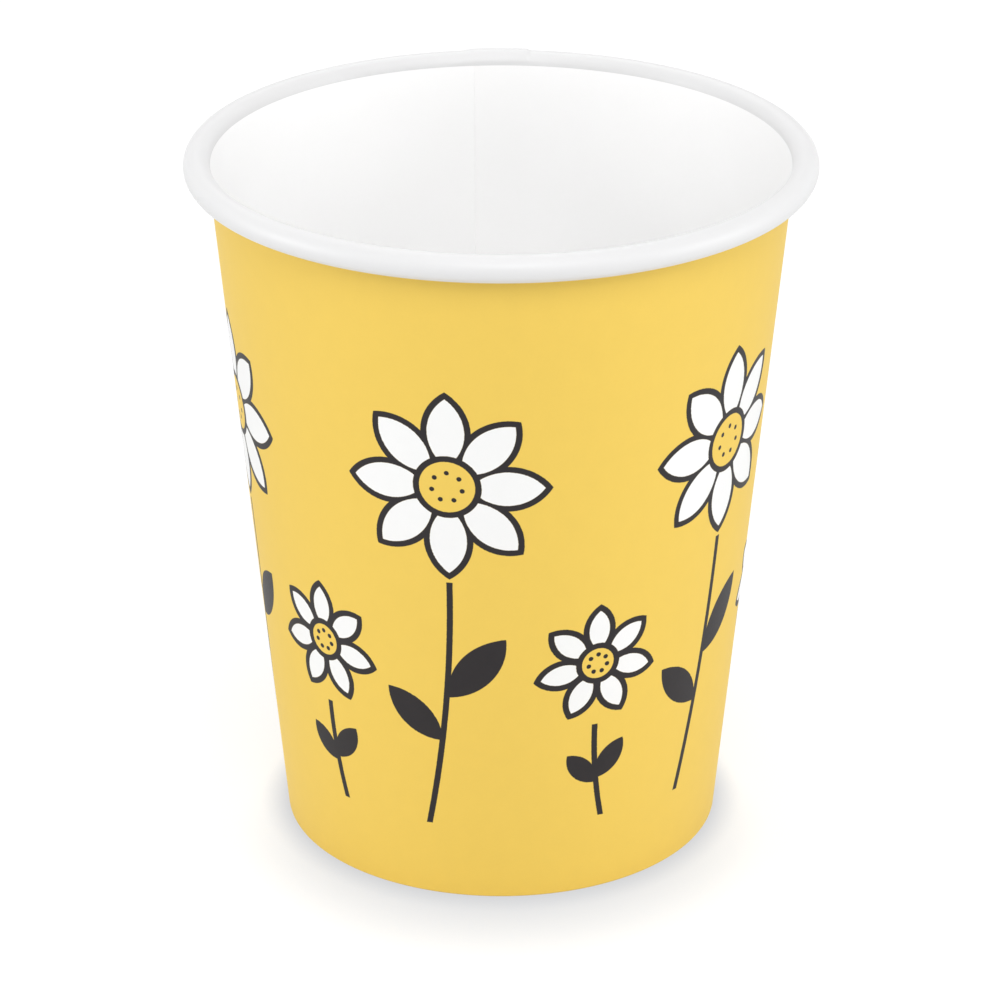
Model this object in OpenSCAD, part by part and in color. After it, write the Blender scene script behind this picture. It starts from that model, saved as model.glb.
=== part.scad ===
// Paper cup: a wrapped and lapped sidewall with a rolled rim, and a bottom disc held in its folded foot.
// The wall is printed outside with a yellow ground and a row of flowers, in thin layers of ink.
// The axis is +Z, the cup stands on z = 0, and the front of its print faces -Y.

/* [Cup] */
// Outer diameter over the rolled rim
rim_d = 80; // [70:1:95]
// Height from the table to the top of the rim
cup_h = 92; // [75:1:120]
// Outer diameter of the wall where it meets the table
foot_d = 57; // [50:1:62]
// Thickness of the sidewall board
wall_t = 0.36; // [0.28:0.02:0.5]

/* [Rolled rim] */
// Height and width of the roll
roll_d = 3.4; // [2.6:0.1:4.4]
// Angle that the board's upper edge is curled through, in degrees
roll_turn = 312; // [250:2:316]

/* [Side seam] */
// Width of the lap where the blank's two ends are sealed together
lap_w = 7; // [5:0.5:10]
// Width of the slope where the outer ply climbs over the end of the inner one
lap_slope_w = 2.5; // [1.5:0.5:4]
// Direction of the seam, in degrees about the axis
seam_dir = 90; // [45:5:135]

/* [Foot] */
// Height of the bottom disc's underside above the table
recess_h = 7.5; // [6:0.5:12]
// Height between the top of the inward fold and the bend of the bottom disc
fold_gap = 1; // [0.6:0.1:3]
// Number of upright grooves that press the fold against the skirt
groove_n = 72; // [48:4:96]
// Width of a groove at the face of the fold
groove_w = 1.2; // [0.8:0.1:1.6]
// Depth of a groove
groove_depth = 0.12; // [0.06:0.02:0.2]
// Height from the table to the lower end of the grooves
groove_z = 1.2; // [0.8:0.1:2]

/* [Bottom disc] */
// Thickness of the bottom board
disc_t = 0.3; // [0.22:0.02:0.4]
// Inside radius of the bend between the disc and its skirt
disc_bend_r = 0.5; // [0.2:0.1:0.8]
// Gap between the skirt's lower edge and the fold that it stands in
skirt_gap = 0.1; // [0.05:0.05:0.4]

/* [Print] */
// Number of flowers of each size
flower_n = 5; // [2:1:5]
// Angle from one flower to the next of its size, in degrees
flower_pitch = 67.4; // [60:0.2:67.4]
// Thickness of the drawn lines
line_w = 0.8; // [0.5:0.1:1]
// Thickness of one layer of ink
ink_t = 0.02; // [0.01:0.01:0.03]
// Bare board between the roll and the ground's upper edge
ground_gap = 0.4; // [0.2:0.1:2]

/* [Large flower] */
// Diameter over the petals
large_d = 26; // [20:1:30]
// Height of its centre
large_z = 60; // [55:1:65]
// Number of petals
large_petals = 8; // [6:1:9]
// Length of the stalk below the petals
large_stalk = 36; // [28:1:38]
// Angle from the seam to the first of them, in degrees
large_start = 34; // [33:0.5:40]

/* [Small flower] */
// Diameter over the petals
small_d = 17; // [13:1:19]
// Height of its centre
small_z = 34; // [28:1:38]
// Number of petals
small_petals = 7; // [6:1:9]
// Length of the stalk below the petals
small_stalk = 14; // [12:1:16]
// Angle from the seam to the first of them, in degrees
small_start = 67.7; // [62:0.5:70]

/* [Hidden] */
// Sides of the turned surfaces, and degrees from point to point of the arcs in sections and in the print
turned_fn = 96;
arc_step = 9;
print_step = 36;

board = "#f3f3f1";
ground = "#f4d069";
ink = "#231f20";

// The half section has the radius along x and the height along y.
// The wall's outer face rises from the foot's edge and meets the hollow of the roll in a tangent.
foot_edge = [foot_d / 2, 0];
roll_c = [(rim_d - roll_d) / 2, cup_h - roll_d / 2];
roll_r = roll_d / 2;
roll_hollow_r = roll_r - wall_t;
to_roll = roll_c - foot_edge;
wall_lean = atan2(to_roll.x, to_roll.y) - asin(roll_hollow_r / norm(to_roll));
up_wall = [sin(wall_lean), cos(wall_lean)];
inward = [-cos(wall_lean), sin(wall_lean)];

// Directions that face square out of the wall and square into it
face_out = -wall_lean;
face_in = 180 - wall_lean;

// Depths of the plies that lie on each other in the foot: wall, skirt of the bottom disc, inward fold
skirt_depth = wall_t;
fold_depth = skirt_depth + disc_t;
fold_end = fold_depth + wall_t;

// Point at height z, at a depth inside the wall's outer face
function at(z, depth) = foot_edge + depth * inward + (z - depth * sin(wall_lean)) / cos(wall_lean) * up_wall;

function dir(angle) = [cos(angle), sin(angle)];

// Points of an arc, in equal steps
function arc(centre, r, from, to, step = arc_step) =
    let (steps = ceil(abs(to - from) / step))
    [for (i = [0 : steps]) centre + r * dir(from + (to - from) * i / steps)];

// Centres of the two bends of the foot, and of the bend of the bottom disc
foot_bend = at(wall_t, skirt_depth);
fold_bend = at(wall_t, fold_depth);
disc_bend = at(recess_h - disc_bend_r, fold_depth + disc_bend_r);
fold_top_z = recess_h - disc_bend_r - fold_gap;

module turned(outline) {
    rotate_extrude($fn = turned_fn) polygon(outline);
}

// One sheet of board: round the outside of the roll, down the inside of the wall and over the fold,
// back under the foot, up the outside of the wall and round the hollow of the roll
wall_outline = concat(
    arc(roll_c, roll_r, face_in - roll_turn, face_in),
    [foot_bend, fold_bend, at(fold_top_z, fold_depth), at(fold_top_z, fold_end)],
    arc(fold_bend, wall_t, face_in, 270),
    arc(foot_bend, wall_t, -90, face_out),
    arc(roll_c, roll_hollow_r, face_in, face_in - roll_turn)
);

// Outer ply of the lap, from the edge of the foot into the hollow of the roll, half sunk in the wall
lap_outline = concat(
    arc(foot_bend, 2 * wall_t, -20, face_out),
    [roll_c + (roll_hollow_r - wall_t) * inward, roll_c + (roll_hollow_r + wall_t / 2) * inward],
    arc(foot_bend, wall_t / 2, face_out, -20)
);

// The same ply where it is folded up inside the foot
fold_lap_outline = [
    at(2 * wall_t, fold_end - wall_t / 2), at(fold_top_z, fold_end - wall_t / 2),
    at(fold_top_z, fold_end + wall_t), at(2 * wall_t, fold_end + wall_t)
];

// The disc's edge is bent down into a skirt that lies against the wall
disc_outline = concat(
    [[0, recess_h + disc_t]],
    arc(disc_bend, disc_bend_r + disc_t, 90, face_out),
    [at(wall_t + skirt_gap, skirt_depth), at(wall_t + skirt_gap, fold_depth)],
    arc(disc_bend, disc_bend_r, face_out, 90),
    [[0, recess_h]]
);

// Upright band that leans with the wall at the seam: x runs outwards from the wall's face and y along it
module seam_band(outline) {
    rotate(seam_dir) translate([foot_edge.x, 0, 0]) rotate([0, wall_lean, 0])
        translate([0, 0, -lap_w]) linear_extrude(cup_h + 2 * lap_w) polygon(outline);
}

// The outer ply ends in a cut edge on one side and slopes down to the wall on the other
module lap() {
    mid_r = (foot_edge.x + roll_c.x) / 2;
    reach = 2 * lap_w;
    crest = [wall_t - pow(lap_w / 2, 2) / (2 * mid_r), lap_w / 2];
    slope_end = [-pow(crest.y + lap_slope_w, 2) / (2 * mid_r), crest.y + lap_slope_w];
    slope = slope_end - crest;
    intersection() {
        turned(lap_outline);
        seam_band([[-reach, -lap_w / 2], [reach, -lap_w / 2], crest - slope, slope_end + slope,
            [-reach, slope_end.y + slope.y]]);
    }
    intersection() {
        turned(fold_lap_outline);
        seam_band([[-reach, -lap_w / 2], [reach, -lap_w / 2], [reach, lap_w / 2], [-reach, lap_w / 2]]);
    }
}

// A ribbed wheel presses the fold home, and leaves upright grooves all round inside the foot
module fold_grooves() {
    low = at(groove_z, fold_end);
    for (i = [0.5 : groove_n]) rotate(seam_dir + i * 360 / groove_n)
        translate([low.x, 0, low.y]) rotate([0, wall_lean, 0]) linear_extrude(recess_h) polygon([
            [groove_depth, -groove_w / 4],
            [groove_depth, groove_w / 4],
            [-groove_w, groove_w],
            [-groove_w, -groove_w]
        ]);
}

// Ink is rooted in the board, and each layer stands a little higher above it
ink_root = wall_t / 3;
ground_top_z = cup_h - roll_d - ground_gap;
ground_outline = concat(
    arc(foot_bend, wall_t + ink_t, -45, face_out),
    [at(ground_top_z, -ink_t), at(ground_top_z, ink_root)],
    arc(foot_bend, wall_t - ink_root, face_out, -45)
);
function skin_outline(layers) =
    let (low_z = 2 * wall_t, top_z = ground_top_z - ground_gap)
    [at(low_z, -layers * ink_t), at(top_z, -layers * ink_t), at(top_z, ink_root), at(low_z, ink_root)];

// A leaf or a petal lies along x between two equal arcs. It is kept as the middle of its length, the radius
// of the arcs, and how far their centres lie off x.
function leaf(from, to, width) =
    let (half = (to - from) / 2, r = (pow(half, 2) + pow(width / 2, 2)) / width)
    [from + half, r, r - width / 2];

// Upper arc of a leaf that is grown by some width, from an angle to the tip on x
function leaf_side(leaf, grow, from_angle) =
    arc([leaf[0], -leaf[2]], leaf[1] + grow, from_angle, 90 - acos(leaf[2] / (leaf[1] + grow)), print_step);

// Points that end on x, and their mirror images in x from the last one back to the one numbered first
function mirrored(points, first = 0) =
    concat(points, [for (i = [len(points) - 2 : -1 : first]) [points[i].x, -points[i].y]]);

function leaf_outline(leaf) = mirrored(leaf_side(leaf, 0, 90 + acos(leaf[2] / leaf[1])), 1);

function turned_points(points, angle) =
    [for (p = points) [p.x * cos(angle) - p.y * sin(angle), p.x * sin(angle) + p.y * cos(angle)]];

// The petals start inside the flower's middle and reach its edge
middle_share = 0.15;
function petal(d) = leaf(0.09 * d, (d - line_w) / 2, 0.21 * d);

// Outline of a whole flower with the lines at its edge: each petal runs from where neighbours meet to its tip
function flower_outline(d, petal_n) =
    let (
        p = petal(d),
        r = p[1] + line_w / 2,
        centre = [p[0], -p[2]],
        ray = dir(180 / petal_n),
        meet = (centre * ray + sqrt(pow(centre * ray, 2) - centre * centre + r * r)) * ray - centre,
        side = leaf_side(p, line_w / 2, atan2(meet.y, meet.x))
    )
    [for (k = [0 : petal_n - 1]) each turned_points(mirrored(side, 1), 90 - k * 360 / petal_n)];

// White of one petal, from the line round the middle to the line at the petal's edge
function petal_outline(d) =
    let (p = petal(d), start = middle_share * d + line_w / 2)
    mirrored(leaf_side(p, -line_w / 2, acos((start - p[0]) / (p[1] - line_w / 2))));

// A stalk bows to one side by the square of the way down
function stalk_outline(top, length, bow) =
    let (steps = 3, middle = [for (i = [0 : steps]) [bow * pow(i / steps, 2), top - length * i / steps]])
    concat(
        [for (p = middle) p + [line_w / 2, 0]],
        [for (i = [steps : -1 : 0]) middle[i] - [line_w / 2, 0]]
    );

// Each leaf's distance from the stalk's line, its share of the way down, its tilt, its length and its width
large_leaves = [[-0.5, 0.48, 50, 11.5, 4.8], [-1.4, 0.66, 136, 10, 4.2]];
small_leaves = [[0.4, 0.62, 55, 6.5, 3.1], [0.4, 0.66, 131, 6, 2.9]];
large_bow = -3.5;
small_bow = 1.5;
stalk_gap = 0.5;

module drawn_flower(d, petal_n, stalk, bow, leaves) {
    polygon(flower_outline(d, petal_n));
    polygon(stalk_outline(-d / 2 - stalk_gap, stalk, bow));
    for (l = leaves) translate([l[0], -d / 2 - stalk * l[1]]) rotate(l[2])
        polygon(leaf_outline(leaf(0, l[3], l[4])));
}

// The white petals don't touch each other, so each is raised by itself
module white_petals(start, z, d, petal_n) {
    for (k = [0 : petal_n - 1]) each_flower(start, z)
        rotate(90 - k * 360 / petal_n) polygon(petal_outline(d));
}

module flower_middle(d) {
    polygon(arc([0, 0], middle_share * d - line_w / 2, 0, 330, 30));
}

// Shapes in the plane that touches the wall at a height, raised across its face, once for each flower
module each_flower(start, z) {
    reach = 4;
    for (i = [0 : flower_n - 1]) rotate(seam_dir + start + i * flower_pitch)
        translate([at(z, 0).x, 0, z]) rotate([90 + wall_lean, 0, 90])
            translate([0, 0, -reach]) linear_extrude(2 * reach) children();
}

// Raised shapes cut down to the wall's face and some layers of ink
module inked(layers) {
    intersection() {
        turned(skin_outline(layers));
        union() children();
    }
}

module print() {
    color(ink) inked(2) {
        each_flower(large_start, large_z)
            drawn_flower(large_d, large_petals, large_stalk, large_bow, large_leaves);
        each_flower(small_start, small_z)
            drawn_flower(small_d, small_petals, small_stalk, small_bow, small_leaves);
    }
    color(board) inked(3) {
        white_petals(large_start, large_z, large_d, large_petals);
        white_petals(small_start, small_z, small_d, small_petals);
    }
    color(ground) inked(3) {
        each_flower(large_start, large_z) flower_middle(large_d);
        each_flower(small_start, small_z) flower_middle(small_d);
    }
}

module sidewall() {
    difference() {
        union() {
            color(board) turned(wall_outline);
            color(ground) turned(ground_outline);
            color(ground) lap();
        }
        color(board) fold_grooves();
    }
    print();
}

module bottom() {
    color(board) turned(disc_outline);
}

sidewall();
bottom();
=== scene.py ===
"""A printed paper cup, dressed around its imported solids.

The wrapped sidewall and the bottom are surfaces worked out with numpy from the same sizes as the solids.
The print is drawn in the sidewall's material, in distances measured along the wall.
"""

import math
from types import SimpleNamespace

import bpy
import numpy as np
from bpy.props import FloatProperty, FloatVectorProperty, IntProperty, PointerProperty
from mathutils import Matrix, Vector


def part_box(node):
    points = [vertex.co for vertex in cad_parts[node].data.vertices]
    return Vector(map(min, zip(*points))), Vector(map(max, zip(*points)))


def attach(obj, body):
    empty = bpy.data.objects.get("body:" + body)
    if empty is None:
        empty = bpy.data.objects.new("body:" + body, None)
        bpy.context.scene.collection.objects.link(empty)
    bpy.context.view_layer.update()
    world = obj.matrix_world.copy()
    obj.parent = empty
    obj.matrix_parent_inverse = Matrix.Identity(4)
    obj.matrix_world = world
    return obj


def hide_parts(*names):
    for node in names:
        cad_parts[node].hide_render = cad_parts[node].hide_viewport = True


bl_info = {
    "name": "Paper cup",
    "version": (1, 0, 0),
    "blender": (4, 5, 0),
    "location": "View3D > Sidebar > Paper cup",
    "description": "Builds a wrapped paper cup with a rolled rim, a printed wall and a recessed bottom",
    "category": "Object",
}

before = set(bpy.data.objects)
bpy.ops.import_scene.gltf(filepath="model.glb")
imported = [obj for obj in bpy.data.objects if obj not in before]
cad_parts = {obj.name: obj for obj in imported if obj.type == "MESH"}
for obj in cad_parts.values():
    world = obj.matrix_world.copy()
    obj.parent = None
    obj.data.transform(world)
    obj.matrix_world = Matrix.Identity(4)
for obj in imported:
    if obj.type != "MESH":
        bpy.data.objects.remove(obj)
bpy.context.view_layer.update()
MM = 0.001
RIM_R = max(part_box("sidewall")[1].x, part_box("sidewall")[1].y)
CUP_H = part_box("sidewall")[1].z


def length(name, description, default, low, high):
    """A length property, in metres."""
    return FloatProperty(
        name=name, description=description, default=default, min=low, max=high, precision=5, unit="LENGTH"
    )


def angle(name, description, degrees):
    """An angle property, kept in radians and given here in degrees."""
    return FloatProperty(
        name=name, description=description, default=math.radians(degrees), unit="ROTATION"
    )


def count(name, description, default, low, high):
    """A whole number."""
    return IntProperty(name=name, description=description, default=default, min=low, max=high)


def level(name, description, default, high=1.0):
    """A level of light, or a share."""
    return FloatProperty(name=name, description=description, default=default, min=0, max=high)


def power(name, description, default):
    """The power of a lamp, in watts."""
    return FloatProperty(name=name, description=description, default=default, min=0, unit="POWER")


def colour(name, description, default):
    """A colour property, in linear light."""
    return FloatVectorProperty(
        name=name, description=description, default=default, min=0, max=1, size=3, subtype="COLOR"
    )


class CupSizes(bpy.types.PropertyGroup):
    """Sizes of the board, the roll, the lap and the foot."""

    rim_r: length("Rim radius", "Outside radius of the rolled rim", RIM_R, 0.03, 0.05)
    height: length("Height", "Height of the cup", CUP_H, 0.07, 0.13)
    foot_r: length("Foot radius", "Outside radius of the wall at the table", 28.5 * MM, 0.02, 0.04)
    wall_t: length("Wall board", "Thickness of the sidewall board", 0.36 * MM, 0.0002, 0.0006)
    roll_r: length("Roll radius", "Half the height of the rolled rim", 1.7 * MM, 0.001, 0.003)
    roll_turn: angle("Roll turn", "Angle that the upper edge is curled through", 312)
    seam_dir: angle("Seam direction", "Direction of the side seam about the axis", 90)
    lap_w: length("Lap", "Width of the lap at the seam", 7 * MM, 0.004, 0.01)
    lap_slope_w: length("Lap slope", "Width of the slope beside the lap", 2.5 * MM, 0.001, 0.005)
    recess_h: length("Recess", "Height of the bottom's underside", 7.5 * MM, 0.005, 0.015)
    fold_gap: length("Fold gap", "Height between the fold and the bottom's bend", 1 * MM, 0.0005, 0.004)
    fold_print: length("Fold print", "Height up to which the fold is printed", 3.2 * MM, 0.001, 0.006)
    groove_n: count("Grooves", "Pressed grooves inside the foot", 72, 24, 96)
    groove_depth: length("Groove depth", "Depth of the pressed grooves", 0.12 * MM, 0.00005, 0.0002)
    groove_z: length("Groove foot", "Height of the grooves' lower end", 1.2 * MM, 0.0005, 0.003)
    disc_t: length("Bottom board", "Thickness of the bottom board", 0.3 * MM, 0.0002, 0.0005)
    disc_bend_r: length("Bottom bend", "Inside radius of the bottom's bend", 0.5 * MM, 0.0002, 0.001)
    skirt_gap: length("Skirt gap", "Gap under the bottom's skirt", 0.1 * MM, 0.00005, 0.0004)
    disc_sag: length("Bottom sag", "How far the middle of the bottom lies low", 0.2 * MM, 0, 0.001)


class CupPrint(bpy.types.PropertyGroup):
    """Colours of the board and the layout of the printed flowers."""

    ground: colour("Ground", "Ink of the printed ground", (0.805, 0.557, 0.100))
    petals: colour("Petals", "Board left white in the petals", (0.860, 0.860, 0.855))
    ink: colour("Ink", "Ink of the drawn lines and leaves", (0.010, 0.008, 0.009))
    # Painted light and shade: the coated inside and the roll are one board. The inside is given a near-full
    # white and the roll a much darker tone, so that the rim renders dimmer than the inside.
    coated: colour("Coated board", "Inside of the cup", (0.985, 0.985, 0.985))
    rolled_shaded: colour("Rolled board", "The same board where it is curled into the rim", (0.725, 0.725, 0.730))
    raw: colour("Cut board", "Cut edges of the board", (0.760, 0.740, 0.690))
    line_w: length("Line", "Thickness of the drawn lines", 0.8 * MM, 0.0003, 0.0015)
    flower_n: count("Flowers", "Number of flowers of each size", 5, 2, 5)
    flower_pitch: angle("Flower pitch", "Angle from one flower to the next of its size", 67.4)
    stalk_gap: length("Stalk gap", "Gap between a flower and its stalk", 0.5 * MM, 0, 0.002)
    large_start: angle("Large flower start", "Angle from the seam to the first one", 34)
    large_z: length("Large flower height", "Height of its centre", 60 * MM, 0.04, 0.07)
    large_d: length("Large flower", "Diameter over its petals", 26 * MM, 0.015, 0.03)
    large_petals: count("Large flower petals", "Number of its petals", 8, 5, 12)
    large_stalk: length("Large flower stalk", "Length of its stalk", 36 * MM, 0.01, 0.04)
    large_bow: length("Large flower bow", "How far its stalk's foot lies aside", -3.5 * MM, -0.01, 0.01)
    small_start: angle("Small flower start", "Angle from the seam to the first one", 67.7)
    small_z: length("Small flower height", "Height of its centre", 34 * MM, 0.02, 0.06)
    small_d: length("Small flower", "Diameter over its petals", 17 * MM, 0.01, 0.02)
    small_petals: count("Small flower petals", "Number of its petals", 7, 5, 12)
    small_stalk: length("Small flower stalk", "Length of its stalk", 14 * MM, 0.005, 0.02)
    small_bow: length("Small flower bow", "How far its stalk's foot lies aside", 1.5 * MM, -0.01, 0.01)


class CupStage(bpy.types.PropertyGroup):
    """Floor, light and camera."""

    floor_tone: colour("Floor", "Tone of the floor", (0.98, 0.99, 1.0))
    floor_return: level("Floor return", "Share of that tone in the light that the floor sends up", 0.85)
    # Painted soft shadow: the floor's tone is made darker before the foot
    shade_tone: colour("Shade", "Tone of the floor in the soft shade before the foot", (0.20, 0.235, 0.33))
    shade_w: length("Shade width", "Width over which the soft shade fades", 15.5 * MM, 0.001, 0.1)
    shade_shift: length("Shade shift", "How far forwards the soft shade lies", 9 * MM, 0, 0.02)
    # Painted contact shadow: a darker, cooler floor tone at the foot, and how it fades
    contact_shadow_tone: colour("Contact", "Tone of the floor where it meets the foot", (0.07, 0.09, 0.15))
    contact_shadow_w: length("Contact width", "Width over which that tone fades", 4 * MM, 0.001, 0.1)
    contact_shadow_fall: FloatProperty(name="Contact fall", description="Power of that fade", default=1.5, min=1)
    floor_white: level("Floor white", "Share of plain white that the camera sees in the floor", 0.62)
    floor_glow: level("Floor glow", "Level of that white", 1.06, 2.0)
    white_from: length("White from", "Distance off the foot where that share starts to grow", 0.1, 0.01, 0.5)
    white_w: length("White width", "Width over which it grows to the whole", 0.25, 0.01, 1)
    sky: level("Sky", "Level of the light from all round", 0.58, 2.0)
    right: power("Right", "Power of the lamp on the right", 2.9)
    left: power("Left", "Power of the lamp on the left", 3.0)
    front: power("Front", "Power of the high lamp in front", 5.3)
    behind: power("Behind", "Power of the high lamp behind", 2.0)
    above: power("Above", "Power of the lamp overhead", 2.0)
    view_tilt: angle("View tilt", "How far the camera looks down", 24.33)
    view_far: length("View distance", "From the camera to the point that it looks at", 548.7 * MM, 0.2, 2)
    view_z: length("View height", "Height of the point that it looks at", 43.16 * MM, 0, 0.1)
    lens: FloatProperty(name="Lens", description="Focal length in mm", default=151.3, min=20, unit="CAMERA")
    axis_px: FloatProperty(name="Axis", description="Pixel column of the cup's axis", default=501.2)


# Section of the cup: radius and height


def direction(angles):
    """Unit vectors (radius, height) at these angles: cosine and sine."""
    return np.stack([np.cos(angles), np.sin(angles)], axis=-1)


def section(s):
    """The section's fixed points. The wall's outer face rises from the foot's edge and meets the hollow of
    the roll in a tangent, so its lean is the direction to the roll's centre less
    asin(hollow radius / distance)."""
    edge = np.array([s.foot_r, 0.0])
    roll_c = np.array([s.rim_r - s.roll_r, s.height - s.roll_r])
    hollow_r = s.roll_r - s.wall_t
    way = roll_c - edge
    lean = math.atan2(way[0], way[1]) - math.asin(hollow_r / np.linalg.norm(way))
    up = np.array([math.sin(lean), math.cos(lean)])
    inward = np.array([-math.cos(lean), math.sin(lean)])

    def at(z, depth):
        """Point at height z, at a depth inside the wall's outer face."""
        return edge + depth * inward + (z - depth * math.sin(lean)) / math.cos(lean) * up

    fold_depth = s.wall_t + s.disc_t
    return SimpleNamespace(
        roll_c=roll_c, hollow_r=hollow_r, lean=lean, inward=inward, at=at,
        face_out=-lean, face_in=math.pi - lean,
        fold_depth=fold_depth, fold_end=fold_depth + s.wall_t,
        foot_bend=at(s.wall_t, s.wall_t), fold_bend=at(s.wall_t, fold_depth),
        disc_bend=at(s.recess_h - s.disc_bend_r, fold_depth + s.disc_bend_r),
        fold_top=s.recess_h - s.disc_bend_r - s.fold_gap,
    )


def arc(centre, radius, start, end, steps):
    """Points centre + radius * (cos a, sin a), for a in equal steps from start up to but not at end."""
    return centre + radius * direction(np.linspace(start, end, steps, endpoint=False))


def line(start, end, steps):
    """Points start + (end - start) * t, for t in equal steps from 0 up to but not at 1."""
    t = np.linspace(0, 1, steps, endpoint=False)[:, None]
    return start + (np.asarray(end) - start) * t


def outline_normals(points):
    """Unit normals of a closed outline: the chord from the point before to the point after, turned a
    quarter."""
    chord = np.roll(points, -1, axis=0) - np.roll(points, 1, axis=0)
    normal = np.stack([chord[:, 1], -chord[:, 0]], axis=-1)
    return normal / np.linalg.norm(normal, axis=1, keepdims=True)


def lengths(points):
    """Lengths along a closed line of points: from the first up to each, and all the way round."""
    steps = np.linalg.norm(np.diff(points, axis=0, append=points[:1]), axis=1)
    return np.concatenate([[0], np.cumsum(steps)])


def smooth(t):
    """0 below 0, 1 above 1, and 3t^2 - 2t^3 between."""
    t = np.clip(t, 0, 1)
    return t * t * (3 - 2 * t)


# Meshes

# Faces that meet at a larger angle than this have a crisp edge
CRISP = math.radians(34)


def grid_mesh(name, points, looks, finish, places=None, caps=False):
    """A mesh from rows of points that close on themselves both ways. Row k and column c meet the next row
    and column in a four-sided face, with the finish of looks[k, c]. With caps the last row doesn't meet the
    first, and both are closed with triangles to their own middle. The function finish gives the material of
    a look, and places gives each corner's spot on the map."""
    rows, cols = points.shape[:2]
    k, c = np.meshgrid(np.arange(rows - caps), np.arange(cols), indexing="ij")
    around = ((0, 0), (0, 1), (1, 1), (1, 0))
    corners = np.stack([np.stack([k + i, c + j], -1) for i, j in around], axis=2).reshape(-1, 4, 2)
    faces = (corners[..., 0] % rows * cols + corners[..., 1] % cols).tolist()
    shades = looks[: rows - caps].ravel()
    spots = points.reshape(-1, 3)
    if caps:
        here = np.arange(cols)
        after = (here + 1) % cols
        last = (rows - 1) * cols
        low = np.stack([np.full(cols, rows * cols), after, here], axis=-1)
        high = np.stack([last + here, last + after, np.full(cols, rows * cols + 1)], axis=-1)
        faces += low.tolist() + high.tolist()
        shades = np.concatenate([shades, looks[0], looks[-1]])
        spots = np.concatenate([spots, points[[0, -1]].mean(axis=1)])
    mesh = bpy.data.meshes.new(name)
    mesh.from_pydata(spots.tolist(), [], faces)
    used, slots = np.unique(shades, return_inverse=True)
    for shade in used:
        mesh.materials.append(finish(shade))
    mesh.polygons.foreach_set("material_index", slots.astype(np.int32))
    if places:
        layer = mesh.uv_layers.new(name="OFBake")
        layer.data.foreach_set("uv", places(corners).reshape(-1).astype(np.float32))
    mesh.shade_smooth()
    mesh.set_sharp_from_angle(angle=CRISP)
    if mesh.validate():
        raise RuntimeError(name + " has faces that don't hold")
    piece = bpy.data.objects.new(name, mesh)
    bpy.context.scene.collection.objects.link(piece)
    return piece


def turn(outline, angles):
    """Points (r cos a, r sin a, z) of an outline (r, z) turned about the axis by an array of angles."""
    r, z = outline[..., 0], outline[..., 1]
    return np.stack([r * np.cos(angles), r * np.sin(angles), z], axis=-1)


# Sidewall: one sheet, as a closed outline carried round the axis

COATED, ROLLED_SHADED, PRINTED, CUT, BARE = range(5)
COLUMNS_PER_GROOVE = 8
FAR_FROM_SEAM = 1.0


def wall_outline(s, g):
    """The sheet's section as a closed outline, with the look and the run's name of each point. It goes
    round the outside of the roll, down the inside, over the fold, under the foot, up the outside of the
    wall and round the hollow of the roll. Each run is a straight line or an arc in equal steps."""
    roll_end = g.face_in - s.roll_turn
    fold_in, fold_out = g.at(g.fold_top, g.fold_depth), g.at(g.fold_top, g.fold_end)
    lip_out = g.roll_c + s.roll_r * direction(roll_end)
    lip_in = g.roll_c + g.hollow_r * direction(roll_end)
    print_end = g.at(s.fold_print, g.fold_end)
    wall_foot, wall_top = g.foot_bend - s.wall_t * g.inward, g.roll_c + g.hollow_r * g.inward
    runs = [
        # The roll gets the board's darker copy: painted shade on the rim
        ("roll", ROLLED_SHADED, arc(g.roll_c, s.roll_r, roll_end, g.face_in, 44)),
        ("inside", COATED, line(g.roll_c + s.roll_r * g.inward, g.foot_bend, 22)),
        ("slot", COATED, line(g.foot_bend, g.fold_bend, 1)),
        ("slot", COATED, line(g.fold_bend, fold_in, 3)),
        ("edge", CUT, line(fold_in, fold_out, 3)),
        ("fold", BARE, line(fold_out, print_end, 6)),
        ("fold", PRINTED, line(print_end, g.fold_bend + s.wall_t * g.inward, 6)),
        ("bend", PRINTED, arc(g.fold_bend, s.wall_t, g.face_in, 1.5 * math.pi, 5)),
        ("bend", PRINTED, line([g.fold_bend[0], 0], [g.foot_bend[0], 0], 1)),
        ("bend", PRINTED, arc(g.foot_bend, s.wall_t, -0.5 * math.pi, g.face_out, 5)),
        ("outside", PRINTED, line(wall_foot, wall_top, 28)),
        ("hollow", PRINTED, arc(g.roll_c, g.hollow_r, g.face_in, roll_end, 26)),
        ("edge", CUT, line(lip_in, lip_out, 3)),
    ]
    points = np.concatenate([part for name, look, part in runs])
    looks = np.concatenate([np.full(len(part), look) for name, look, part in runs])
    names = np.concatenate([np.full(len(part), name) for name, look, part in runs])
    return points, looks, names


def wall_columns(s, columns):
    """Offsets along the wall from the middle of the seam, for the columns at the lap, the shares of the
    rest of the turn for the others, and the column before the lap's cut. The offsets stay the same from
    foot to rim, because the lap's edges are parallel."""
    half, hair, step = s.lap_w / 2, 5e-6, 0.45 * MM
    parted = hair * np.array([0, 0, 0, -1, 1, 0, 0])
    cut = -half + np.array([-0.6, -0.24, -0.06, 0, 0, 0.06, 0.24]) * MM + parted
    flat = np.arange(-half + 0.6 * MM, half - 0.3 * MM, step)
    inner = half + np.array([-0.15, 0, 0.05, 0.3]) * MM
    slope = np.arange(half + 0.6 * MM, half + s.lap_slope_w + 1.2 * MM, step)
    offsets = np.concatenate([cut, flat, inner, slope])
    rest = np.linspace(0, 1, columns - len(offsets) + 2)[1:-1]
    return offsets, rest, int(parted.argmin())


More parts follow.
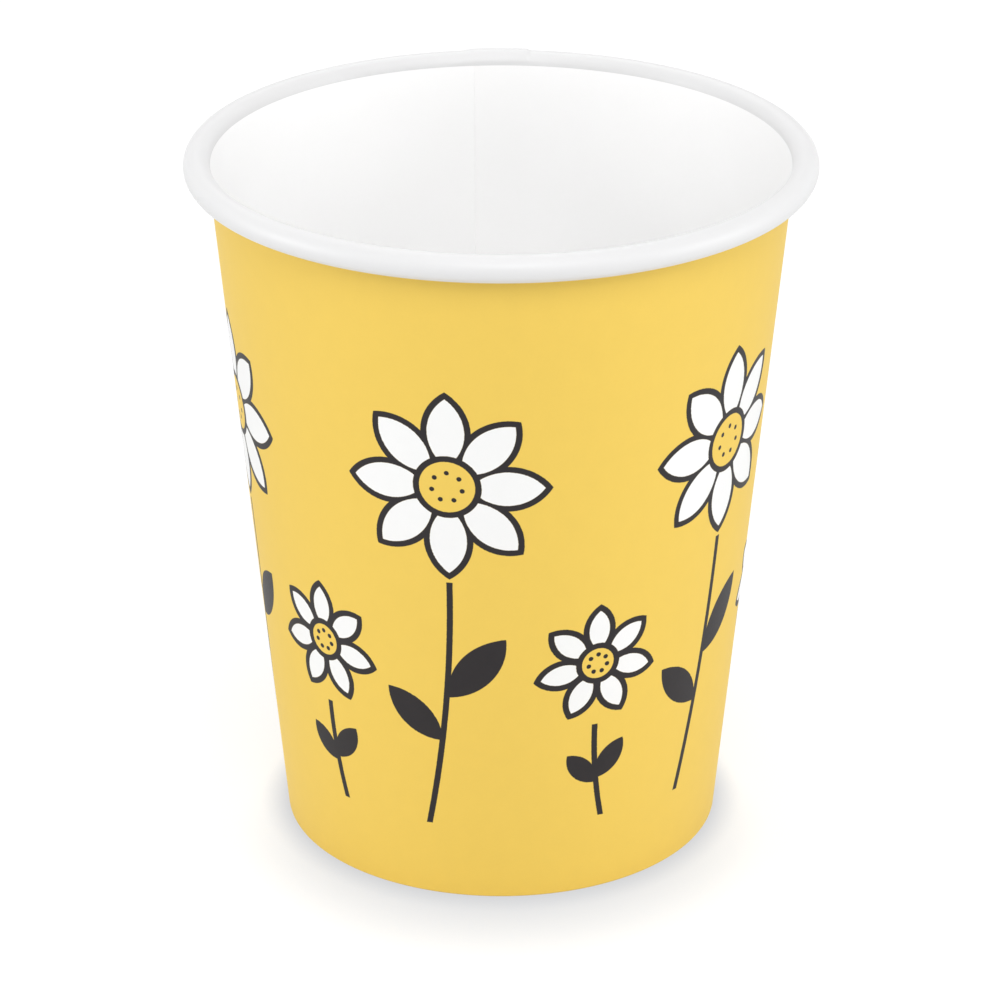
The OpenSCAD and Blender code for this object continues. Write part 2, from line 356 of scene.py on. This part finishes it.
def sidewall_points(s, g, columns):
    """Points of the sheet: the outline moved along its own normals by the lap and the grooves, and turned.

    Outside and under the foot the lap is one board thick between its cut edge and its slope. On the roll it
    is a soft bump. Inside, the inner ply ends in a small step that fades out. The grooves are a row of
    cosine hollows in the fold's face."""
    outline, looks, names = wall_outline(s, g)
    normals = outline_normals(outline)
    offsets, rest, cut_col = wall_columns(s, columns)
    r, z = outline[:, :1], outline[:, 1:]
    lap_angles = s.seam_dir + offsets / r
    gap = 2 * math.pi - (offsets[-1] - offsets[0]) / r
    angles = np.concatenate([lap_angles, lap_angles[:, -1:] + gap * rest], axis=1)
    far = np.full((len(r), len(rest)), FAR_FROM_SEAM)
    along = np.concatenate([np.broadcast_to(offsets, lap_angles.shape), far], axis=1)
    past_cut, past_lap = along + s.lap_w / 2, along - s.lap_w / 2

    def on(*wanted):
        """1 on the rows of these runs, and 0 on the others."""
        return np.isin(names, wanted)[:, None].astype(float)

    # One board of extra thickness, sharp at the cut and sloped on the other side, square to the wall only
    slope = 1 - smooth(past_lap / s.lap_slope_w)
    square = on("outside", "fold", "hollow") + on("bend") * np.abs(normals[:, :1])
    step = (past_cut > 0) * slope * square
    # The roll's bump, a share of the board, fades in from the inside of the cup to the top of the rim
    bump_t, before_cut, flank_w, fade_turn = 0.6, 0.5 * MM, 0.7 * MM, 1.2
    turn_at = np.arctan2(z - g.roll_c[1], r - g.roll_c[0])
    fade = on("roll") * smooth((g.face_in - np.abs(turn_at)) / fade_turn)
    bump = bump_t * smooth((past_cut + before_cut) / flank_w) * slope * fade
    # The inner ply's edge inside the cup, a share of the board, ends below the roll and above the bottom
    ply_t, edge_w, fade_w, below_roll, above_bottom = 0.3, 0.05 * MM, 1.5 * MM, 3 * MM, 1 * MM
    drop = np.clip(past_lap / edge_w, 0, 1) * (1 - smooth((past_lap - edge_w) / fade_w))
    ends = smooth((g.roll_c[1] - z) / below_roll) * smooth((z - s.recess_h) / above_bottom)
    ledge = -ply_t * drop * ends * on("inside")
    # The foot's grooves are wider than the ridges between them, and leave the lap clear
    widening, end_w = 0.35, 0.4 * MM
    cosine = np.cos(s.groove_n * (angles - s.seam_dir) + math.pi)
    wave = np.clip(widening + (1 - widening) * cosine, 0, 1) * smooth((z - s.groove_z) / end_w)
    grooves = -s.groove_depth * wave * on("fold") * (np.abs(along) > s.lap_w)

    lift = s.wall_t * (step + bump + ledge) + grooves
    moved = outline[:, None, :] + normals[:, None, :] * lift[..., None]
    moved[..., 1] = np.maximum(moved[..., 1], 0)
    face_looks = np.repeat(looks[:, None], angles.shape[1], axis=1)
    face_looks[np.isin(names, ["outside", "fold", "bend"]), cut_col] = CUT
    return turn(moved, angles), face_looks, names


def sidewall_places(points, names):
    """Map places of the sheet. The printed outside is cut into three equal lengths of the turn, which fill
    three quarters of the map, and the rest of the sheet fills the last. Places follow lengths along the
    surface."""
    cols = points.shape[1]
    outside = np.flatnonzero(names == "outside")
    first, last = outside[0], outside[-1] + 1
    round_s = lengths(points[outside[len(outside) // 2]])
    up_s = lengths(points[:, cols // 2])
    parts, margin, cell = 3, 0.004, 0.5
    width = cell - 2 * margin
    edges = np.searchsorted(round_s, round_s[-1] * np.arange(parts + 1) / parts)
    edges[-1] = cols

    def places(corners):
        """Each corner's place: its share of the way along and up its part, in that part's quarter."""
        k, c = corners[..., 0], corners[..., 1]
        row, col = k.min(axis=1), c.min(axis=1)
        printed = ((row >= first) & (row < last))[:, None]
        part = np.clip(np.searchsorted(edges, col, side="right") - 1, 0, parts - 1)[:, None]
        start, end = round_s[edges[part]], round_s[edges[part + 1]]
        u_out = (part % 2) * cell + margin + width * (round_s[c] - start) / (end - start)
        v_out = (part // 2) * cell + margin + width * (up_s[k] - up_s[first]) / (up_s[last] - up_s[first])
        rest_s = np.where(k >= last, up_s[k] - up_s[last], up_s[k] + up_s[-1] - up_s[last])
        rest_all = up_s[-1] - up_s[last] + up_s[first]
        u_in = cell + margin + width * round_s[c] / round_s[-1]
        v_in = cell + margin + width * rest_s / rest_all
        return np.stack([np.where(printed, u_out, u_in), np.where(printed, v_out, v_in)], axis=-1)

    return places


# Bottom: a disc with its edge bent down

DISC_COLUMNS = 288


def disc_outline(s, g):
    """The disc's section: along the underside from the hub, down the inside of the skirt, up its outside
    and back over the top. The middle sags by sag * (1 - (r / R)^2)."""
    hub, upright = 1 * MM, math.pi / 2
    top, under = s.recess_h + s.disc_t, s.recess_h
    bend_r, skirt_z = s.disc_bend_r + s.disc_t, s.wall_t + s.skirt_gap
    skirt_out, skirt_in = g.at(skirt_z, s.wall_t), g.at(skirt_z, g.fold_depth)
    runs = [
        (BARE, line([hub, under], [g.disc_bend[0], under], 26)),
        (BARE, arc(g.disc_bend, s.disc_bend_r, upright, g.face_out, 9)),
        (BARE, line(g.disc_bend - s.disc_bend_r * g.inward, skirt_in, 5)),
        (CUT, line(skirt_in, skirt_out, 2)),
        (COATED, line(skirt_out, g.disc_bend - bend_r * g.inward, 5)),
        (COATED, arc(g.disc_bend, bend_r, g.face_out, upright, 9)),
        (COATED, line([g.disc_bend[0], top], [hub, top], 26)),
        (COATED, np.array([[hub, top]])),
    ]
    points = np.concatenate([part for look, part in runs])
    looks = np.concatenate([np.full(len(part), look) for look, part in runs])
    outwards = np.clip(points[:, 0] / g.disc_bend[0], 0, 1)
    sag = s.disc_sag * (1 - outwards**2)
    return points - np.stack([np.zeros(len(points)), sag], axis=-1), looks


# Materials

# Noise patterns of the board, in features per metre
FIBRES, WAVES, CLOUDS = 3200.0, 160.0, 420.0

# Leaves of each size of flower: place aside in mm, share of the way down the stalk, tilt in degrees, and
# length and width in mm
LEAVES = {
    "large": [(-0.5, 0.48, 50, 11.5, 4.8), (-1.4, 0.66, 136, 10.0, 4.2)],
    "small": [(0.4, 0.62, 55, 6.5, 3.1), (0.4, 0.66, 131, 6.0, 2.9)],
}


class Wire:
    """A number in a material. Sums, differences, products and quotients add Math nodes."""

    def __init__(self, look, socket):
        self.look = look
        self.socket = socket

    def __add__(self, other):
        return self.look.maths("ADD", self, other)

    def __radd__(self, other):
        return self.look.maths("ADD", other, self)

    def __sub__(self, other):
        return self.look.maths("SUBTRACT", self, other)

    def __rsub__(self, other):
        return self.look.maths("SUBTRACT", other, self)

    def __mul__(self, other):
        return self.look.maths("MULTIPLY", self, other)

    def __rmul__(self, other):
        return self.look.maths("MULTIPLY", other, self)

    def __truediv__(self, other):
        return self.look.maths("DIVIDE", self, other)

    def __rtruediv__(self, other):
        return self.look.maths("DIVIDE", other, self)

    def __abs__(self):
        return self.look.maths("ABSOLUTE", self)


class Look:
    """The nodes of a material or a world, under construction."""

    def __init__(self, owner, out="ShaderNodeOutputMaterial"):
        owner.use_nodes = True
        self.owner = owner
        self.tree = owner.node_tree
        self.tree.nodes.clear()
        self.out = self.node(out)

    def node(self, kind, settings=None, sockets=None):
        """Adds a node: its settings first, and then the values or links of its sockets."""
        node = self.tree.nodes.new(kind)
        for name, value in (settings or {}).items():
            setattr(node, name, value)
        for name, value in (sockets or {}).items():
            if isinstance(value, Wire):
                value = value.socket
            if isinstance(value, bpy.types.NodeSocket):
                self.tree.links.new(value, node.inputs[name])
            else:
                node.inputs[name].default_value = value
        return node

    def maths(self, operation, *values, clamp=False):
        """One Math node's result."""
        settings = {"operation": operation, "use_clamp": clamp}
        node = self.node("ShaderNodeMath", settings, dict(enumerate(values)))
        return Wire(self, node.outputs[0])

    def mix(self, part, first, second):
        """A colour that goes from first to second."""
        return self.node("ShaderNodeMix", {"data_type": "RGBA"}, {0: part, 6: first, 7: second}).outputs[2]

    def noise(self, place, scale, detail, roughness=0.5):
        """A noise pattern's value, about 0.5, with features of 1 / scale metres."""
        sockets = {"Vector": place, "Scale": scale, "Detail": detail, "Roughness": roughness}
        return Wire(self, self.node("ShaderNodeTexNoise", None, sockets).outputs["Fac"])

    def object_place(self):
        """Place on the piece, in metres."""
        return self.node("ShaderNodeTexCoord").outputs["Object"]

    def seen(self):
        """1 for camera, mirror and glass rays, and 0 for the others."""
        path = self.node("ShaderNodeLightPath").outputs
        seen = self.maths("MAXIMUM", path["Is Camera Ray"], path["Is Glossy Ray"])
        return self.maths("MAXIMUM", seen, path["Is Transmission Ray"])

    def show(self, shader):
        """Ends in a shader node."""
        self.tree.links.new(shader.outputs[0], self.out.inputs[0])
        return self.owner


def tint(shade, *factors):
    """A colour with its three parts times these factors, or all times one."""
    if len(factors) == 1:
        factors = factors * 3
    return (*(min(part * factor, 1.0) for part, factor in zip(shade, factors)), 1.0)


def board_relief(look, place, strength):
    """Normal of a board's face: fine fibres of 0.3 mm over slow waves of 6 mm."""
    fibres = look.noise(place, FIBRES, 3.0, 0.6)
    waves = look.noise(place, WAVES, 1.0)
    sockets = {"Strength": strength, "Distance": 0.02 * MM, "Height": fibres * 0.25 + waves * 2.0}
    return look.node("ShaderNodeBump", None, sockets).outputs[0], fibres, waves


def covered(look, distance, soft=0.06 * MM):
    """1 inside a drawn shape and 0 outside, from the distance to its edge, which is negative inside."""
    return look.maths("MULTIPLY_ADD", distance, -1.0 / soft, 0.5, clamp=True)


def leaf_distance(look, x, y, start, end, width):
    """Distance to a leaf shape between two arcs, that lies along x from start to end: with half length h,
    the arcs have radius R = (h^2 + (w/2)^2) / w, and the distance is
    hypot(x - middle, |y| + R - w/2) - R."""
    half = (end - start) / 2
    radius = (half**2 + (width / 2) ** 2) / width
    dx = x - (start + half)
    dy = abs(y) + (radius - width / 2)
    return look.maths("SQRT", dx * dx + dy * dy) - radius


def turned_about(x, y, at_x, at_y, tilt):
    """Places measured from a point, on axes turned by a tilt."""
    dx, dy = x - at_x, y - at_y
    cos, sin = math.cos(tilt), math.sin(tilt)
    return dx * cos + dy * sin, dy * cos - dx * sin


def folded(look, reach, way, rays):
    """Places along and aside of the nearest of some rays from a middle: the reach times the cosine and the
    sine of the angle, wrapped into one sector."""
    sector = math.pi / rays
    fold = look.maths("WRAP", way, sector, -sector)
    return reach * look.maths("COSINE", fold), reach * look.maths("SINE", fold)


def flower(look, x, y, across, petals, line_w):
    """White and inked shares of a flower. Its petals fold into one, which lies along the nearest ray. A
    ring parts them from the middle, which shows the ground and has dots in it."""
    reach = look.maths("SQRT", x * x + y * y)
    way = look.maths("ARCTAN2", x, y)
    half_line, middle_r = line_w / 2, across * 0.15
    petal_start, petal_w = across * 0.09, across * 0.21
    dots, dots_r, dot_r = 7, middle_r * 0.5, line_w * 0.4

    along, aside = folded(look, reach, way, petals)
    petal = leaf_distance(look, along, aside, petal_start, across / 2 - half_line, petal_w)
    off_middle = reach - middle_r
    white = covered(look, petal + half_line) * covered(look, half_line - off_middle)
    whole = look.maths("MAXIMUM", covered(look, petal - half_line), covered(look, off_middle - half_line))
    middle = covered(look, off_middle + half_line)
    dot_x, dot_y = folded(look, reach, way, dots)
    dot_x = dot_x - dots_r
    dot = covered(look, look.maths("SQRT", dot_x * dot_x + dot_y * dot_y) - dot_r)
    return white, look.maths("MAXIMUM", whole * (1 - white) * (1 - middle), dot)


def stalk(look, x, y, top, tall, bow, line_w):
    """Inked share of a stalk: a line of even width about x = bow * (way down / length)^2."""
    run = (top - y) / tall
    off = abs(x - run * run * bow) - line_w / 2
    ends = abs(y - (top - tall / 2)) - tall / 2
    return covered(look, look.maths("MAXIMUM", off, ends))


def flower_row(look, p, size, past_seam, radius, up_wall, bleed):
    """White and inked shares of the flowers of one size, repeated round the cup. Places are measured on the
    wall: the angle from the flower times the radius, and the height along the wall. The row ends clear of
    the seam."""

    def own(value):
        """This size's own value."""
        return getattr(p, f"{size}_{value}")

    across, tall, half_pitch = own("d"), own("stalk"), p.flower_pitch / 2
    from_first = past_seam - own("start")
    in_row = abs(from_first - half_pitch * (p.flower_n - 1)) - half_pitch * p.flower_n
    x = look.maths("WRAP", from_first, half_pitch, -half_pitch) * radius + bleed
    y = up_wall(own("z")) + bleed
    white, inked = flower(look, x, y, across, own("petals"), p.line_w)
    stem = stalk(look, x, y, -across / 2 - p.stalk_gap, tall, own("bow"), p.line_w)
    inked = look.maths("MAXIMUM", inked, stem)
    for aside, down, tilt, leaf_l, leaf_w in LEAVES[size]:
        leaf_x, leaf_y = turned_about(x, y, aside * MM, -across / 2 - down * tall, math.radians(tilt))
        leaf = covered(look, leaf_distance(look, leaf_x, leaf_y, 0, leaf_l * MM, leaf_w * MM))
        inked = look.maths("MAXIMUM", inked, leaf)
    mask = look.maths("LESS_THAN", in_row, 0.0)
    return white * mask, inked * mask


def printed_look(s, p):
    """Printed face: a yellow ground with a row of flowers of each size. Ink lies a little uneven on the
    board, in clouds of a few millimetres and in single fibres."""
    look = Look(bpy.data.materials.new("printed_board"))
    place = look.object_place()
    axes = look.node("ShaderNodeSeparateXYZ", None, {0: place})
    x, y, z = (Wire(look, axes.outputs[i]) for i in range(3))
    radius = look.maths("SQRT", x * x + y * y)
    past_seam = look.maths("WRAP", look.maths("ARCTAN2", y, x) - s.seam_dir, 2 * math.pi, 0.0)
    relief, fibres, _ = board_relief(look, place, 0.35)
    bleed_w = 0.10 * MM
    bleed = (fibres - 0.5) * bleed_w
    upright = math.cos(section(s).lean)

    def up_wall(height):
        """Length along the wall from a height."""
        return (z - height) / upright

    rows = [flower_row(look, p, size, past_seam, radius, up_wall, bleed) for size in LEAVES]
    white, inked = (look.maths("MAXIMUM", *shares) for shares in zip(*rows))
    uneven = look.noise(place, CLOUDS, 2.0) * 0.5 + fibres * 0.5

    def mottled(shade, low, high):
        """A colour that goes from its tone times low to its tone times high."""
        return look.mix(uneven, tint(shade, low), tint(shade, high))

    ground, petals = mottled(p.ground, 0.965, 1.03), mottled(p.petals, 0.975, 1.02)
    base = look.mix(inked, look.mix(white, ground, petals), mottled(p.ink, 1.0, 2.2))
    rough = 0.50 + fibres * 0.14 - inked * 0.06 + white * 0.04
    sockets = {"Base Color": base, "Roughness": rough, "Normal": relief, "Specular IOR Level": 0.3}
    return look.show(look.node("ShaderNodeBsdfPrincipled", None, sockets))


def board_look(name, shade, rough, strength):
    """Plain board: slow clouds and fibres of a slightly darker, warmer tone."""
    look = Look(bpy.data.materials.new(name))
    relief, fibres, waves = board_relief(look, look.object_place(), strength)
    base = look.mix(fibres * 0.6 + waves * 0.4, tint(shade, 0.975, 0.970, 0.965), tint(shade, 1.0))
    sockets = {"Base Color": base, "Roughness": fibres * 0.16 + (rough - 0.08), "Normal": relief}
    return look.show(look.node("ShaderNodeBsdfPrincipled", None, sockets))


def board_finish(scene):
    """The function that makes the material of each finish of the board."""
    s, p = scene.cup_sizes, scene.cup_print

    def finish(look):
        """The material of this finish."""
        if look == PRINTED:
            return printed_look(s, p)
        name, shade, rough, strength = {
            COATED: ("coated_board", p.coated, 0.42, 0.25),
            # The same board as the coated one, in a darker tone: painted shade on the rim
            ROLLED_SHADED: ("rolled_board", p.rolled_shaded, 0.42, 0.25),
            CUT: ("cut_board", p.raw, 0.85, 0.9),
            BARE: ("bare_board", tint(p.coated, 0.97), 0.72, 0.6),
        }[look]
        return board_look(name, shade, rough, strength)

    return finish


# Operators


class CUP_OT_sidewall(bpy.types.Operator):
    """Make the wrapped sidewall with its rolled rim, side seam and folded foot"""

    bl_idname = "cup.sidewall"
    bl_label = "Sidewall"

    def execute(self, context):
        s = context.scene.cup_sizes
        points, looks, names = sidewall_points(s, section(s), COLUMNS_PER_GROOVE * s.groove_n)
        finish, places = board_finish(context.scene), sidewall_places(points, names)
        piece = grid_mesh("wrapped_wall", points, looks, finish, places)
        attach(piece, "root")
        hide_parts("sidewall")
        return {"FINISHED"}


class CUP_OT_bottom(bpy.types.Operator):
    """Make the bottom disc with its skirt"""

    bl_idname = "cup.bottom"
    bl_label = "Bottom"

    def execute(self, context):
        s = context.scene.cup_sizes
        outline, looks = disc_outline(s, section(s))
        angles = np.linspace(0, 2 * math.pi, DISC_COLUMNS, endpoint=False)
        points = turn(np.repeat(outline[:, None], DISC_COLUMNS, axis=1), angles)
        looks = np.repeat(looks[:, None], DISC_COLUMNS, axis=1)
        piece = grid_mesh("bottom_disc", points, looks, board_finish(context.scene), caps=True)
        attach(piece, "root")
        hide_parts("bottom")
        return {"FINISHED"}


# Name, place and side length of each lamp, in metres
LAMPS = [
    ("right", (0.97, -0.20, 0.28), 0.5),
    ("left", (-0.97, -0.20, 0.28), 0.5),
    ("front", (0.10, -0.84, 0.90), 0.6),
    ("behind", (-0.10, 0.84, 0.90), 0.6),
    ("above", (0.0, 0.0, 1.30), 0.6),
]
SENSOR_MM = 36
FRAME_PX = 1000


def lamp(name, place, size, watts):
    """A square lamp that faces the middle of the cup."""
    data = bpy.data.lights.new(name, "AREA")
    data.size = size
    data.energy = watts
    thing = bpy.data.objects.new(name, data)
    thing.location = place
    facing = Vector((0, 0, CUP_H / 2)) - Vector(place)
    thing.rotation_euler = facing.to_track_quat("-Z", "Y").to_euler()
    bpy.context.scene.collection.objects.link(thing)


def white_world(sky):
    """Light of one level from all round. Camera, mirror and glass rays see plain white."""
    look = Look(bpy.data.worlds.new("white_room"), "ShaderNodeOutputWorld")
    strength = sky + look.seen() * (1 - sky)
    white = (1, 1, 1, 1)
    return look.show(look.node("ShaderNodeBackground", None, {"Color": white, "Strength": strength}))


def floor_material(t, foot_r):
    """White floor that keeps the cup's shadow: a diffuse face, of which the camera sees a share as plain
    white near the cup, and all of it further off. The camera also sees a painted contact shadow at the foot
    and a painted soft shadow before it, darker and cooler, against the wall's warm light."""
    look = Look(bpy.data.materials.new("white_floor"))
    seen = look.seen()
    place = look.object_place()

    def off_foot(shift):
        """Distance to the foot, from a ring that lies some way forwards inside it and meets it at the
        front."""
        sockets = {0: place, 1: (0, -shift, 0)}
        away = look.node("ShaderNodeVectorMath", {"operation": "DISTANCE"}, sockets).outputs["Value"]
        return Wire(look, away) - (foot_r - shift)

    def near(shift, width):
        """1 at the foot, falling to 0 over a width."""
        return look.maths("SUBTRACT", 1.0, off_foot(shift) / width, clamp=True)

    tone = look.mix(seen, tint(t.floor_tone, t.floor_return), tint(t.floor_tone, 1.0))
    # Painted soft shadow before the foot, for the camera
    tone = look.mix(seen * near(t.shade_shift, t.shade_w), tone, tint(t.shade_tone, 1.0))
    # Painted contact shadow at the foot, for the camera
    contact_shadow_fade = look.maths("POWER", near(0.0, t.contact_shadow_w), t.contact_shadow_fall)
    tone = look.mix(seen * contact_shadow_fade, tone, tint(t.contact_shadow_tone, 1.0))
    far = look.maths("MULTIPLY_ADD", off_foot(0.0), 1 / t.white_w, -t.white_from / t.white_w, clamp=True)
    white = t.floor_white + far * (1 - t.floor_white)
    face = look.node("ShaderNodeBsdfDiffuse", None, {"Color": tone}).outputs[0]
    glow = look.node("ShaderNodeEmission", None, {"Strength": t.floor_glow}).outputs[0]
    return look.show(look.node("ShaderNodeMixShader", None, {0: seen * white, 1: face, 2: glow}))


def camera_at(t):
    """The camera, on the front side at a distance and a tilt from the point that it looks at."""
    data = bpy.data.cameras.new("camera")
    data.sensor_width = SENSOR_MM
    data.lens = t.lens
    data.shift_x = (FRAME_PX / 2 - t.axis_px) / FRAME_PX
    data.clip_start = 10 * MM
    camera = bpy.data.objects.new("camera", data)
    away = Vector((0, -math.cos(t.view_tilt), math.sin(t.view_tilt))) * t.view_far
    camera.location = Vector((0, 0, t.view_z)) + away
    camera.rotation_euler = (math.pi / 2 - t.view_tilt, 0, 0)
    bpy.context.scene.collection.objects.link(camera)
    return camera


class CUP_OT_stage(bpy.types.Operator):
    """Make the white floor, the light and the camera"""

    bl_idname = "cup.stage"
    bl_label = "Stage"

    def execute(self, context):
        scene, t = context.scene, context.scene.cup_stage
        span = 4.0
        corners = [(-span, -span, 0), (span, -span, 0), (span, span, 0), (-span, span, 0)]
        mesh = bpy.data.meshes.new("floor")
        mesh.from_pydata(corners, [], [(0, 1, 2, 3)])
        mesh.materials.append(floor_material(t, scene.cup_sizes.foot_r))
        floor = bpy.data.objects.new("floor", mesh)
        scene.collection.objects.link(floor)
        scene.world = white_world(t.sky)
        for name, place, size in LAMPS:
            lamp("lamp_" + name, place, size, getattr(t, name))
        scene.camera = camera_at(t)
        scene.view_settings.view_transform = "Standard"
        return {"FINISHED"}


class CUP_PT_panel(bpy.types.Panel):
    """The cup's sizes, colours and stage, with a button for each piece"""

    bl_label = "Paper cup"
    bl_space_type = "VIEW_3D"
    bl_region_type = "UI"
    bl_category = "Paper cup"

    def draw(self, context):
        for label, group, names in GROUPS:
            box = self.layout.box()
            box.label(text=label)
            values = getattr(context.scene, group)
            for name in values.__annotations__:
                box.prop(values, name)
            for name in names:
                box.operator(name)


GROUPS = [
    ("Sizes", "cup_sizes", ["cup.sidewall", "cup.bottom"]),
    ("Board and print", "cup_print", []),
    ("Stage", "cup_stage", ["cup.stage"]),
]
HOLDERS = {"cup_sizes": CupSizes, "cup_print": CupPrint, "cup_stage": CupStage}
CLASSES = [*HOLDERS.values(), CUP_OT_sidewall, CUP_OT_bottom, CUP_OT_stage, CUP_PT_panel]


def register():
    for each in CLASSES:
        bpy.utils.register_class(each)
    for name, kind in HOLDERS.items():
        setattr(bpy.types.Scene, name, PointerProperty(type=kind))


def unregister():
    for name in HOLDERS:
        delattr(bpy.types.Scene, name)
    for each in reversed(CLASSES):
        bpy.utils.unregister_class(each)


def main():
    """Registers the classes and makes every piece and the stage."""
    register()
    bpy.ops.cup.sidewall()
    bpy.ops.cup.bottom()
    bpy.ops.cup.stage()


if __name__ == "__main__":
    main()
